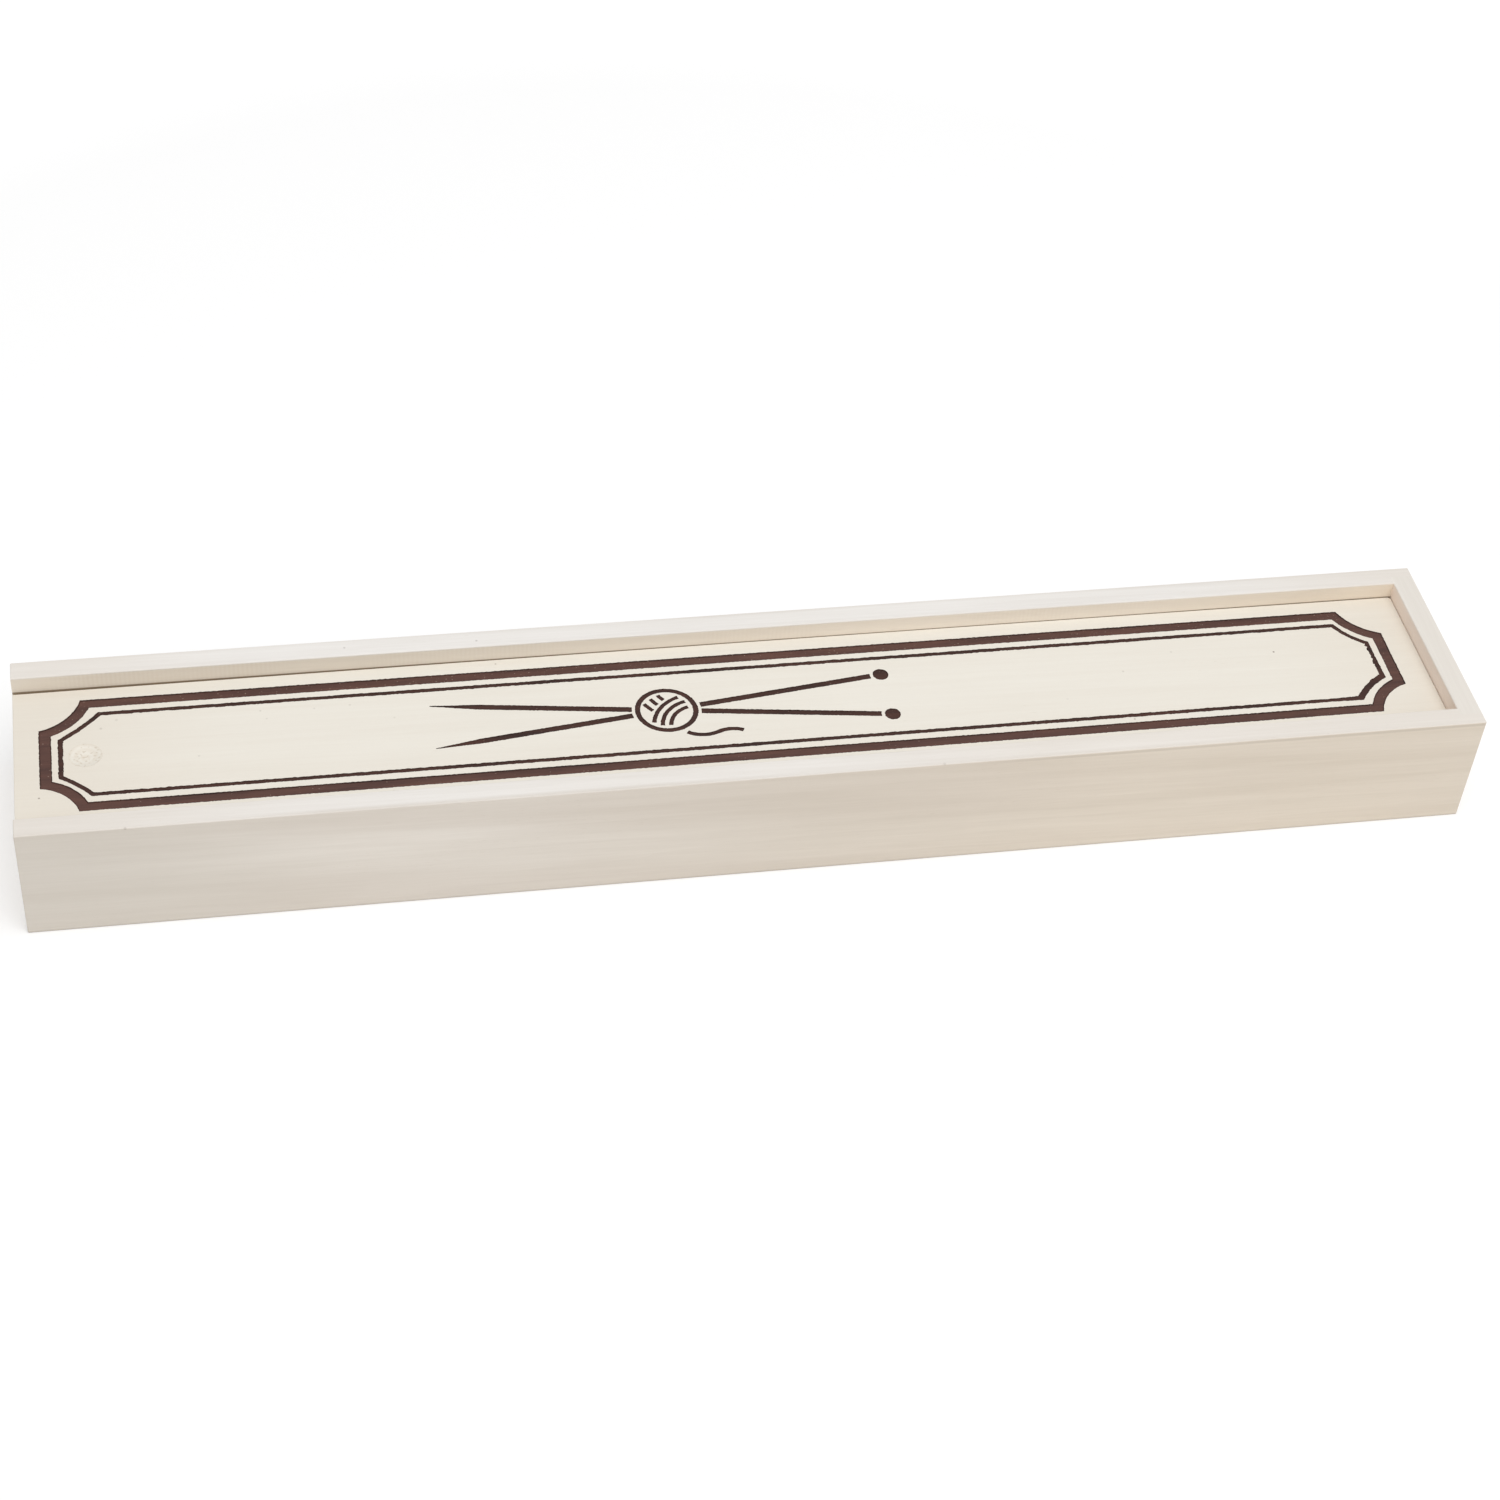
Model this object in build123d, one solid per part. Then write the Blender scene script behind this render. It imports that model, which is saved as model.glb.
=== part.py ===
from build123d import *
from math import sqrt
import os

# Case for straight knitting needles with a sliding lid.
# Millimetres. X runs along the case, with the open end, where the lid comes out, at -X.
# Y runs across it, with the front at -Y. Z is up, and the case stands on Z = 0.
# The origin is the middle of the underside.

# Case: four wall boards round a floor
case_length = 430.0       # outside, and room inside for needles of 40 cm
case_width = 72.0         # outside
case_height = 38.5        # outside, from the underside to the rim
wall = 7.0                # thickness of each wall board
housing = 3.0             # depth of every groove and rebate in the wall boards
floor_thickness = 3.0
arris = 0.4               # rounding of the case's sanded edges

# Lid: a board with a tongue round three sides, which runs in the groove
lid_drop = 5.3            # from the rim down to the lid's top face
lid_thickness = 6.0
tongue_thickness = 3.0
groove_gap = 0.3          # air round the tongue, on every side of the groove
side_gap = 0.5            # air between the lid's raised field and each long wall
end_gap = 0.3             # air between the lid's raised field and the closed end
field_corner = 0.8        # rounding of the field's two corners at the closed end
lid_arris = 0.3           # rounding of the field's top edges

# Thumb recess: a shallow spherical dish in the lid
thumb_diameter = 9.3
thumb_depth = 1.1
thumb_inset = 20.0        # from the lid's open end to the middle of the dish

# Border sunk into the lid's top face: a broad band, and a thin line parallel to it
border_depth = 0.25
open_margin = 7.0         # from the lid's open end to the band
closed_margin = 8.6       # from the closed end wall to the band
side_margin = 6.0         # from each long wall to the band
band_width = 3.4
band_to_line = 2.2        # plain wood between the band and the line
line_width = 1.2
scoop = 11.0              # how much of each side a scooped corner takes
scoop_rise = 2.0          # how far the scoop's arc curves in from a straight cut

# Places that follow from the sizes above
end_x = case_length / 2
side_y = case_width / 2
inner_x = end_x - wall
inner_y = side_y - wall
housed_x = inner_x + housing
housed_y = inner_y + housing

lid_top = case_height - lid_drop
lid_bottom = lid_top - lid_thickness
tongue_top = lid_bottom + tongue_thickness
groove_floor = lid_bottom - groove_gap
groove_ceiling = tongue_top + groove_gap


def block(x, y, z):
    """A box that spans a pair of values on each axis."""
    size = (x[1] - x[0], y[1] - y[0], z[1] - z[0])
    middle = ((x[0] + x[1]) / 2, (y[0] + y[1]) / 2, (z[0] + z[1]) / 2)
    return Pos(*middle) * Box(*size)


def round_outer_edges(shell):
    """Rounds the rim all round, the four upright corners and the outline of the underside."""
    beyond_x = inner_x + wall / 2
    beyond_y = inner_y + wall / 2
    rim = shell.edges().filter_by_position(Axis.Z, case_height, case_height)
    uprights = shell.edges().filter_by(Axis.Z)
    corners = uprights.filter_by(lambda edge: abs(edge.center().Y) > beyond_y)
    underside = shell.edges().filter_by_position(Axis.Z, 0, 0)
    outline = underside.filter_by(
        lambda edge: abs(edge.center().X) > beyond_x or abs(edge.center().Y) > beyond_y
    )
    return fillet(rim + corners + outline, arris)


def case_shell():
    """The four wall boards as one form, with their rounded edges, lid groove and floor rebate."""
    shell = block((-end_x, end_x), (-side_y, side_y), (0, case_height))
    shell -= block((-inner_x, inner_x), (-inner_y, inner_y), (0, case_height))
    shell -= block((-end_x, -inner_x), (-inner_y, inner_y), (groove_floor, case_height))
    shell = round_outer_edges(shell)
    shell -= block((-end_x, housed_x), (-housed_y, housed_y), (groove_floor, groove_ceiling))
    shell -= block((-housed_x, housed_x), (-housed_y, housed_y), (0, floor_thickness))
    return shell


def wall_boards():
    """The shell parted into boards. The end walls sit in rebates in the long walls."""
    shell = case_shell()
    closed_end = block((inner_x, end_x), (-housed_y, housed_y), (0, case_height))
    open_end = block((-end_x, -inner_x), (-housed_y, housed_y), (0, groove_floor))
    long_walls = shell - closed_end - open_end
    return {
        "front_wall": long_walls & block((-end_x, end_x), (-side_y, 0), (0, case_height)),
        "rear_wall": long_walls & block((-end_x, end_x), (0, side_y), (0, case_height)),
        "closed_end_wall": shell & closed_end,
        "open_end_wall": shell & open_end,
    }


def floor_panel():
    """The floor fills the rebate round the underside, flush with the walls' bottom edges."""
    return block((-housed_x, housed_x), (-housed_y, housed_y), (0, floor_thickness))


def lid_board():
    """The lid: a wide tongue in the groove, and a narrower field between the walls."""
    tongue_x = housed_x - groove_gap
    tongue_y = housed_y - groove_gap
    tongue = block((-end_x, tongue_x), (-tongue_y, tongue_y), (lid_bottom, tongue_top))
    field_x = inner_x - end_gap
    field_y = inner_y - side_gap
    field = block((-end_x, field_x), (-field_y, field_y), (tongue_top, lid_top))
    field = fillet(field.edges().filter_by(Axis.Z).group_by(Axis.X)[-1], field_corner)
    field = fillet(field.edges().group_by(Axis.Z)[-1], lid_arris)
    return tongue + field


def thumb_recess():
    """The ball that cuts the dish: its cap has the dish's diameter and depth."""
    radius = (thumb_diameter**2 / 4 + thumb_depth**2) / (2 * thumb_depth)
    return Pos(thumb_inset - end_x, 0, lid_top - thumb_depth + radius) * Sphere(radius)


def scooped_panel():
    """The border's outer outline: a long panel with each corner scooped out by a round."""
    low_x = open_margin - end_x
    high_x = inner_x - closed_margin
    length = high_x - low_x
    width = 2 * (inner_y - side_margin)
    half_chord = scoop / sqrt(2)
    radius = (half_chord**2 + scoop_rise**2) / (2 * scoop_rise)
    beyond_corner = (radius - scoop_rise) / sqrt(2) - scoop / 2
    centres = GridLocations(length + 2 * beyond_corner, width + 2 * beyond_corner, 2, 2)
    panel = Rectangle(length, width) - centres * Circle(radius)
    return Pos((low_x + high_x) / 2, 0, 0) * panel


def moved_in(panel, distance):
    """The same outline, smaller by a distance all round, with its corners kept sharp."""
    return offset(panel, -distance, kind=Kind.INTERSECTION)


def border():
    """The wood that the band and the line take out of the lid's top face."""
    panel = scooped_panel()
    band = panel - moved_in(panel, band_width)
    line_panel = moved_in(panel, band_width + band_to_line)
    line = line_panel - moved_in(line_panel, line_width)
    return Pos(0, 0, lid_top - border_depth) * extrude(band + line, border_depth)


def sliding_lid():
    """The lid with its thumb recess and its border."""
    return lid_board() - thumb_recess() - border()


def main():
    os.makedirs("parts", exist_ok=True)
    nodes = wall_boards()
    nodes["floor_panel"] = floor_panel()
    nodes["sliding_lid"] = sliding_lid()
    for name, shape in nodes.items():
        export_step(shape, f"parts/{name}.step")


main()
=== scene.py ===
import math

import bmesh
import bpy
from mathutils import Matrix, Vector


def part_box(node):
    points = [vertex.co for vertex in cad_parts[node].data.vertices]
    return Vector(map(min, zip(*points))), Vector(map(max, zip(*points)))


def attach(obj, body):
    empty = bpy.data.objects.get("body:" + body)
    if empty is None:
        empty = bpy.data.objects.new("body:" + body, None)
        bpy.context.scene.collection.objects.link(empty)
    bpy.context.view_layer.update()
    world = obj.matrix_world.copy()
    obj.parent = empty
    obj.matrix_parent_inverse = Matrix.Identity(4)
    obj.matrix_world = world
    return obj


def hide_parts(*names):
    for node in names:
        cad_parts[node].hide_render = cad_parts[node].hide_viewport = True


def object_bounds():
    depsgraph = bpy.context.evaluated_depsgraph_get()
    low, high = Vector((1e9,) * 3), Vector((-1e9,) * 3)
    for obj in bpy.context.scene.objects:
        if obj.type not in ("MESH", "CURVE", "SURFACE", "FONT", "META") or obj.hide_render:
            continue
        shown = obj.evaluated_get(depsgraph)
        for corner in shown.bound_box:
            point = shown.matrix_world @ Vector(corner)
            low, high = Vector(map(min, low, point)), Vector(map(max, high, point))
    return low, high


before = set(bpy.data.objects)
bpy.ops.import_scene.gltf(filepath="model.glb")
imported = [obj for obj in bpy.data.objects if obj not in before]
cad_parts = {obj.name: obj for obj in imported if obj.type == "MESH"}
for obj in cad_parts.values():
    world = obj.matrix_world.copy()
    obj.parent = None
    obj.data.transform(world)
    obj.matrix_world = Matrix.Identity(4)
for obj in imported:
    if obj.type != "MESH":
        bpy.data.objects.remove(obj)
cad_low, cad_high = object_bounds()
mm = 0.001

# ---------------------------------------------------------------------------------------------
# Front wall and rear wall
# Two planed boards of lime wood, 7 mm thick, that run the whole length of the case. They were
# brushed with thin white wash and sanded, so the pale figure of the wood still shows through.
# The sides towards the needles and the groove for the lid were cut later and stayed bare.
# ---------------------------------------------------------------------------------------------
inner_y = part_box("rear_wall")[0].y
inner_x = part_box("closed_end_wall")[0].x
rim_z = cad_high.z
lid_top_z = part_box("sliding_lid")[1].z
wash_on_walls = ("F4F1ED", "E4DFD9")
front_lime = ("E0CDB2", "CBB799")
rear_lime = ("FAF0E2", "ECE0D0")
# Greyer towards the open end, on the upright sides
greyed_lime = "BAB3A6"
yellowed_lime = "DDC396"
heart_lime = "B9A898"
# Painted shade where the rim's rounded outer edge turns from the light
painted_rim_edge_shade = "BFB2A0"
# Painted shade towards the ends of the rims and the lid, where the light falls off, with a warmer
# tone
painted_end_shade = "D9C9B4"
# Painted shade for the dark gap beside the lid, on the walls' sides towards the needles
planed_lime = "CFBCA3"
painted_gap_shade = "9C8A74"
# Painted contact shade along the lower edges, and scuffs just below the rim's edge
scuffs_and_painted_contact_shade = "8F8270"
open_pores = "A8906F"
bark = "5E4632"


def linear(hex_colour):
    """An sRGB hex colour as linear red, green, blue and alpha."""
    parts = [int(hex_colour[i:i + 2], 16) / 255 for i in (0, 2, 4)]
    return [p / 12.92 if p <= 0.04045 else ((p + 0.055) / 1.055) ** 2.4 for p in parts] + [1.0]


def add(material, kind, settings, links):
    """Adds a node. A link's value is a number, a colour, or another node with its output."""
    made = material.node_tree.nodes.new("ShaderNode" + kind)
    for name, value in settings.items():
        setattr(made, name, value)
    for socket, value in links.items():
        if isinstance(value, tuple) and isinstance(value[0], bpy.types.Node):
            material.node_tree.links.new(value[0].outputs[value[1]], made.inputs[socket])
        else:
            made.inputs[socket].default_value = value
    return made


def new_material(name):
    material = bpy.data.materials.new(name)
    material.use_nodes = True
    return material


def grain_noise(material, board, length, width, settings):
    """Noise drawn out along the grain: each streak is about length by width, in mm."""
    drawn_out = add(material, "Mapping", {}, {
        "Vector": (board, "Vector"), "Scale": (1 / length, 1 / width, 1 / width)})
    links = {"Vector": (drawn_out, "Vector"), "Scale": 1.0}
    links.update(settings)
    return add(material, "TexNoise", {}, links)


def blend_in(material, under, share, weight):
    """Adds a pattern, measured from its middle tone, to another."""
    centred = add(material, "Math", {"operation": "SUBTRACT"}, {0: share, 1: 0.5})
    return add(material, "Math", {"operation": "MULTIPLY_ADD"}, {
        0: (centred, "Value"), 1: weight, 2: under})


def lime_wood(material, turn, slide, washed, bare, bareness, contrast, marks=()):
    """Lime wood under thin white wash. bareness is 1 where the wash is missing.

    turn is the grain's angle from X in degrees, and slide says which part of the plank, in mm,
    the board was cut from. marks are masks with a colour each, laid over the wood.
    """
    place = add(material, "TexCoord", {}, {})
    # Board coordinates in mm with the grain along X, and the same tilted against the pith
    board = add(material, "Mapping", {}, {
        "Vector": (place, "Object"), "Location": slide,
        "Rotation": (0, 0, math.radians(turn)), "Scale": (1 / mm, 1 / mm, 1 / mm)})
    tilted = add(material, "Mapping", {}, {
        "Vector": (board, "Vector"), "Rotation": (0, math.radians(-1.6), math.radians(1.1))})

    # Soft bands of early and late wood, some 8 mm wide and a hand long
    bands = grain_noise(material, tilted, 150, 8, {
        "Detail": 2.0, "Roughness": 0.5, "Distortion": 0.5})
    # Growth rings 3.5 mm apart round a pith that lies outside the board
    along = add(material, "Mapping", {}, {"Vector": (tilted, "Vector"), "Scale": (0.03, 1, 1)})
    rings = add(material, "TexWave", {
        "wave_type": "RINGS", "rings_direction": "X", "wave_profile": "SAW"}, {
        "Vector": (along, "Vector"), "Scale": 0.09, "Distortion": 6.0,
        "Detail": 2.0, "Detail Scale": 0.9, "Detail Roughness": 0.6})
    # Streaks of 1.2 mm and fibres of 0.4 mm
    streaks = grain_noise(material, tilted, 45, 1.2, {"Detail": 3.0, "Roughness": 0.6})
    fibres = grain_noise(material, board, 11, 0.4, {"Detail": 3.0, "Roughness": 0.6})
    # Pores: dark dashes 2 mm long in loose groups
    dashes = grain_noise(material, board, 2.2, 0.3, {"Detail": 0.0})
    groups = grain_noise(material, board, 60, 14, {"Detail": 1.0})
    pore_limit = add(material, "MapRange", {}, {
        "Value": (groups, "Fac"), "From Min": 0.4, "From Max": 0.7, "To Min": 0.86, "To Max": 0.74})
    over_limit = add(material, "Math", {"operation": "SUBTRACT"}, {
        0: (dashes, "Fac"), 1: (pore_limit, "Result")})
    pores = add(material, "MapRange", {"interpolation_type": "SMOOTHSTEP"}, {
        "Value": (over_limit, "Value"), "From Min": 0.0, "From Max": 0.06,
        "To Min": 0.0, "To Max": 0.15 * contrast})
    # Where the brush left the wash thin, in patches of 90 by 25 mm
    patches = grain_noise(material, board, 90, 25, {"Detail": 2.0})

    tone = blend_in(material, 0.5, (bands, "Fac"), 1.7 * contrast)
    tone = blend_in(material, (tone, "Value"), (rings, "Fac"), 0.20 * contrast)
    tone = blend_in(material, (tone, "Value"), (streaks, "Fac"), 1.0 * contrast)
    tone = blend_in(material, (tone, "Value"), (fibres, "Fac"), 0.6 * contrast)
    tone = blend_in(material, (tone, "Value"), (patches, "Fac"), 0.8 * contrast)
    dark = add(material, "Clamp", {}, {"Value": (tone, "Value")})
    wash_colour = add(material, "Mix", {"data_type": "RGBA"}, {
        "Factor": (dark, "Result"), "A": linear(washed[0]), "B": linear(washed[1])})
    bare_colour = add(material, "Mix", {"data_type": "RGBA"}, {
        "Factor": (dark, "Result"), "A": linear(bare[0]), "B": linear(bare[1])})
    colour = add(material, "Mix", {"data_type": "RGBA"}, {
        "Factor": bareness, "A": (wash_colour, "Result"), "B": (bare_colour, "Result")})
    for mask, mark_colour in [((pores, "Result"), open_pores), *marks]:
        colour = add(material, "Mix", {"data_type": "RGBA"}, {
            "Factor": mask, "A": (colour, "Result"), "B": linear(mark_colour)})

    # Sanded wash is chalky and matt, and the open fibres are duller still
    shader = material.node_tree.nodes["Principled BSDF"]
    shader.inputs["IOR"].default_value = 1.48
    roughness = add(material, "MapRange", {}, {
        "Value": (fibres, "Fac"), "To Min": 0.58, "To Max": 0.76})
    height = blend_in(material, (fibres, "Fac"), (streaks, "Fac"), 0.8)
    relief = add(material, "Bump", {}, {
        "Height": (height, "Value"), "Distance": 0.04 * mm, "Strength": 0.6})
    material.node_tree.links.new(colour.outputs["Result"], shader.inputs["Base Color"])
    material.node_tree.links.new(roughness.outputs["Result"], shader.inputs["Roughness"])
    material.node_tree.links.new(relief.outputs["Normal"], shader.inputs["Normal"])
    return material


def bare_towards_needles(material, across, along, half_width):
    """1 on a wall's sides towards the needles and in its groove, and 0 on the rim. In between
    on its upright outer sides, where the wash ran thin, more so towards the closed end."""
    place = add(material, "TexCoord", {}, {})
    point = add(material, "SeparateXYZ", {}, {"Vector": (place, "Object")})
    facing = add(material, "SeparateXYZ", {}, {"Vector": (place, "Normal")})
    thin = add(material, "MapRange", {"interpolation_type": "SMOOTHSTEP"}, {
        "Value": (point, "X"), "From Min": -100 * mm, "From Max": 60 * mm,
        "To Min": 0.3, "To Max": 0.5})
    from_middle = add(material, "Math", {"operation": "ABSOLUTE"}, {0: (point, across)})
    inside = add(material, "MapRange", {"interpolation_type": "SMOOTHSTEP"}, {
        "Value": (from_middle, "Value"), "From Min": half_width + 0.5 * mm,
        "From Max": half_width + 5 * mm, "To Min": 1.0, "To Max": 0.0})
    below_rim = add(material, "Math", {"operation": "LESS_THAN"}, {
        0: (point, "Z"), 1: rim_z - 0.45 * mm})
    end_grain = add(material, "Math", {"operation": "ABSOLUTE"}, {0: (facing, along)})
    off_the_end = add(material, "Math", {"operation": "LESS_THAN"}, {
        0: (end_grain, "Value"), 1: 0.5})
    bare = add(material, "Math", {"operation": "MULTIPLY"}, {
        0: (inside, "Result"), 1: (below_rim, "Value")})
    bare = add(material, "Math", {"operation": "MULTIPLY"}, {
        0: (bare, "Value"), 1: (off_the_end, "Value")})
    upright = add(material, "MapRange", {}, {
        "Value": (facing, "Z"), "From Min": 0.2, "From Max": 0.9,
        "To Min": (thin, "Result"), "To Max": 0.0})
    return add(material, "Math", {"operation": "MAXIMUM"}, {
        0: (bare, "Value"), 1: (upright, "Result")}), "Value"


def marks_and_shade_along(material, strength_along_x, facing_up):
    """A mask for marks and painted shade that come and go along the case, on what faces up or on
    upright sides.
    Its second argument gives places along X in mm, each with how strong the mask is there."""
    place = add(material, "TexCoord", {}, {})
    point = add(material, "SeparateXYZ", {}, {"Vector": (place, "Object")})
    facing = add(material, "SeparateXYZ", {}, {"Vector": (place, "Normal")})
    along = add(material, "MapRange", {}, {
        "Value": (point, "X"), "From Min": cad_low.x, "From Max": cad_high.x})
    ramp = add(material, "ValToRGB", {}, {"Fac": (along, "Result")})
    ramp.color_ramp.interpolation = "EASE"
    stops = ramp.color_ramp.elements
    stops.remove(stops[1])
    for number, (x, strength) in enumerate(strength_along_x):
        share = (x * mm - cad_low.x) / (cad_high.x - cad_low.x)
        stop = stops.new(share) if number else stops[0]
        stop.position = share
        stop.color = (strength, strength, strength, 1)
    on_upright, on_top = (0.0, 1.0) if facing_up else (1.0, 0.0)
    side = add(material, "MapRange", {}, {
        "Value": (facing, "Z"), "From Min": 0.2, "From Max": 0.9,
        "To Min": on_upright, "To Max": on_top})
    return add(material, "Math", {"operation": "MULTIPLY"}, {
        0: (ramp, "Color"), 1: (side, "Result")}), "Value"


def flecks_of_bark(material, flecks):
    """A mask of dark flecks, each with its x, y, z and radius in mm and how dark it is."""
    place = add(material, "TexCoord", {}, {})
    mask = 0.0
    for x, y, z, radius, darkness in flecks:
        away = add(material, "VectorMath", {"operation": "DISTANCE"}, {
            0: (place, "Object"), 1: (x * mm, y * mm, z * mm)})
        fleck = add(material, "MapRange", {"interpolation_type": "SMOOTHSTEP"}, {
            "Value": (away, "Value"), "From Min": 0.4 * radius * mm, "From Max": 1.5 * radius * mm,
            "To Min": darkness, "To Max": 0.0})
        mask = add(material, "Math", {"operation": "MAXIMUM"}, {
            0: (fleck, "Result"), 1: mask}), "Value"
    return mask


def side_of_long_wall(material, outer):
    """1 on a long wall's outer side, or else on its side towards the needles."""
    place = add(material, "TexCoord", {}, {})
    point = add(material, "SeparateXYZ", {}, {"Vector": (place, "Object")})
    from_middle = add(material, "Math", {"operation": "ABSOLUTE"}, {0: (point, "Y")})
    comparison, limit = ("GREATER_THAN", cad_high.y - mm) if outer \
        else ("LESS_THAN", inner_y + 0.1 * mm)
    return add(material, "Math", {"operation": comparison}, {
        0: (from_middle, "Value"), 1: limit}), "Value"


def heartwood(material, patches):
    """Darker wood on the outer side, above and below a pale stripe of sapwood that slants down
    to the right and wavers by 3 mm."""
    place = add(material, "TexCoord", {}, {})
    point = add(material, "SeparateXYZ", {}, {"Vector": (place, "Object")})
    slanting = add(material, "Math", {"operation": "MULTIPLY_ADD"}, {
        0: (point, "X"), 1: 0.065, 2: (point, "Z")})
    wavering = add(material, "Math", {"operation": "MULTIPLY_ADD"}, {
        0: (patches, "Fac"), 1: 6 * mm, 2: (slanting, "Value")})
    off_stripe = add(material, "Math", {"operation": "SUBTRACT"}, {
        0: (wavering, "Value"), 1: 16.5 * mm})
    off_stripe = add(material, "Math", {"operation": "ABSOLUTE"}, {0: (off_stripe, "Value")})
    darker = add(material, "MapRange", {"interpolation_type": "SMOOTHSTEP"}, {
        "Value": (off_stripe, "Value"), "From Min": 3 * mm, "From Max": 13 * mm})
    darker = add(material, "Math", {"operation": "MULTIPLY"}, {
        0: (darker, "Result"), 1: side_of_long_wall(material, outer=True)})
    along_wall = ((-190, 0.03), (-130, 0.13), (50, 0.13), (110, 0.02))
    return add(material, "Math", {"operation": "MULTIPLY"}, {
        0: (darker, "Value"), 1: marks_and_shade_along(material, along_wall, False)}), "Value"


def marks_from_planer(material, board, patches):
    """Faint marks from the planer's knives, 1.3 mm apart, in patches of the bare side."""
    knife_marks = add(material, "TexWave", {"bands_direction": "X"}, {
        "Vector": (board, "Vector"), "Scale": 0.24, "Distortion": 1.2, "Detail Scale": 0.3})
    pressed_down = add(material, "MapRange", {}, {
        "Value": (patches, "Fac"), "From Min": 0.4, "From Max": 0.65})
    planed = add(material, "Math", {"operation": "MULTIPLY"}, {
        0: (knife_marks, "Fac"), 1: (pressed_down, "Result")})
    planed = add(material, "Math", {"operation": "MULTIPLY"}, {
        0: (planed, "Value"), 1: side_of_long_wall(material, outer=False)})
    along_wall = ((-100, 0.13), (90, 0.08), (150, 0.0))
    return add(material, "Math", {"operation": "MULTIPLY"}, {
        0: (planed, "Value"), 1: marks_and_shade_along(material, along_wall, False)}), "Value"


def painted_shade_in_lid_gap(material):
    """Painted shade on the side towards the needles, in a line just below the lid's top face, where
    the gap beside the lid lies in shade.
    """
    place = add(material, "TexCoord", {}, {})
    point = add(material, "SeparateXYZ", {}, {"Vector": (place, "Object")})
    below_lid_top = add(material, "MapRange", {}, {
        "Value": (point, "Z"), "From Min": lid_top_z + 0.05 * mm, "From Max": lid_top_z - 0.1 * mm})
    above_groove = add(material, "MapRange", {"interpolation_type": "SMOOTHSTEP"}, {
        "Value": (point, "Z"), "From Min": lid_top_z - 1.8 * mm, "From Max": lid_top_z - 1.0 * mm})
    dusty = add(material, "Math", {"operation": "MINIMUM"}, {
        0: (below_lid_top, "Result"), 1: (above_groove, "Result")})
    return add(material, "Math", {"operation": "MULTIPLY"}, {
        0: (dusty, "Value"), 1: side_of_long_wall(material, outer=False)}), "Value"


def painted_shade_at_rim_edge(material, rim_edge_shade):
    """Painted shade on the last 2 mm of the rim, towards its outer edge, where its rounded arris
    turns from the light.
    """
    place = add(material, "TexCoord", {}, {})
    point = add(material, "SeparateXYZ", {}, {"Vector": (place, "Object")})
    from_middle = add(material, "Math", {"operation": "ABSOLUTE"}, {0: (point, "Y")})
    at_edge = add(material, "MapRange", {"interpolation_type": "SMOOTHSTEP"}, {
        "Value": (from_middle, "Value"), "From Min": cad_high.y - 1.9 * mm,
        "From Max": cad_high.y - 0.2 * mm})
    return add(material, "Math", {"operation": "MULTIPLY"}, {
        0: (at_edge, "Result"), 1: marks_and_shade_along(material, rim_edge_shade, True)}), "Value"


def painted_contact_shade_below(material):
    """Painted contact shade along the lower edges, where they stand on the table."""
    place = add(material, "TexCoord", {}, {})
    point = add(material, "SeparateXYZ", {}, {"Vector": (place, "Object")})
    return add(material, "MapRange", {"interpolation_type": "SMOOTHSTEP"}, {
        "Value": (point, "Z"), "From Min": 0.2 * mm, "From Max": 0.9 * mm,
        "To Min": 0.35, "To Max": 0.0}), "Result"


def scuffs_above(material, scuffed_from):
    """The outer side just below the rim's edge, scuffed by hands from a place along X."""
    place = add(material, "TexCoord", {}, {})
    point = add(material, "SeparateXYZ", {}, {"Vector": (place, "Object")})
    off_edge = add(material, "Math", {"operation": "SUBTRACT"}, {
        0: (point, "Z"), 1: rim_z - 0.9 * mm})
    off_edge = add(material, "Math", {"operation": "ABSOLUTE"}, {0: (off_edge, "Value")})
    near_edge = add(material, "MapRange", {"interpolation_type": "SMOOTHSTEP"}, {
        "Value": (off_edge, "Value"), "From Min": 0.2 * mm, "From Max": 0.7 * mm,
        "To Min": 1.0, "To Max": 0.0})
    along_wall = ((scuffed_from - 50, 0.0), (scuffed_from, 0.2))
    scuffed = add(material, "Math", {"operation": "MULTIPLY"}, {
        0: (near_edge, "Result"), 1: marks_and_shade_along(material, along_wall, False)})
    return add(material, "Math", {"operation": "MULTIPLY"}, {
        0: (scuffed, "Value"), 1: side_of_long_wall(material, outer=True)}), "Value"


def marks_on_long_wall(material, greyer_to_open_end, yellowed, shaded_ends, rim_edge_shade, scuffed_from, flecks):
    """Marks on a long wall, each with its colour: greyer towards the open end and yellow from light
    on its upright sides, painted shade towards the ends of the rim and at its outer edge, what the
    wood and the plane left, painted shade in the gap beside the lid, scuffs below the rim's edge
    and painted contact shade along the lower edges."""
    place = add(material, "TexCoord", {}, {})
    board = add(material, "Mapping", {}, {
        "Vector": (place, "Object"), "Scale": (1 / mm, 1 / mm, 1 / mm)})
    patches = grain_noise(material, board, 40, 40, {"Detail": 1.0})
    return [(marks_and_shade_along(material, greyer_to_open_end, False), greyed_lime),
            (marks_and_shade_along(material, yellowed, False), yellowed_lime),
            (heartwood(material, patches), heart_lime),
            # Painted shade towards the rim's ends, with a warmer tone
            (marks_and_shade_along(material, shaded_ends, True), painted_end_shade),
            # Painted shade at the rim's outer edge
            (painted_shade_at_rim_edge(material, rim_edge_shade), painted_rim_edge_shade),
            (marks_from_planer(material, board, patches), planed_lime),
            # Painted shade in the gap beside the lid
            (painted_shade_in_lid_gap(material), painted_gap_shade),
            # Painted contact shade along the lower edges
            (painted_contact_shade_below(material), scuffs_and_painted_contact_shade),
            (scuffs_above(material, scuffed_from), scuffs_and_painted_contact_shade),
            (flecks_of_bark(material, flecks), bark)]


def finish_board(node, material):
    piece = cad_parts[node]
    piece.data.materials.clear()
    piece.data.materials.append(material)


# Painted shade towards the ends of the rim and at its outer edge is listed here with the marks, as
# strengths along X
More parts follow.
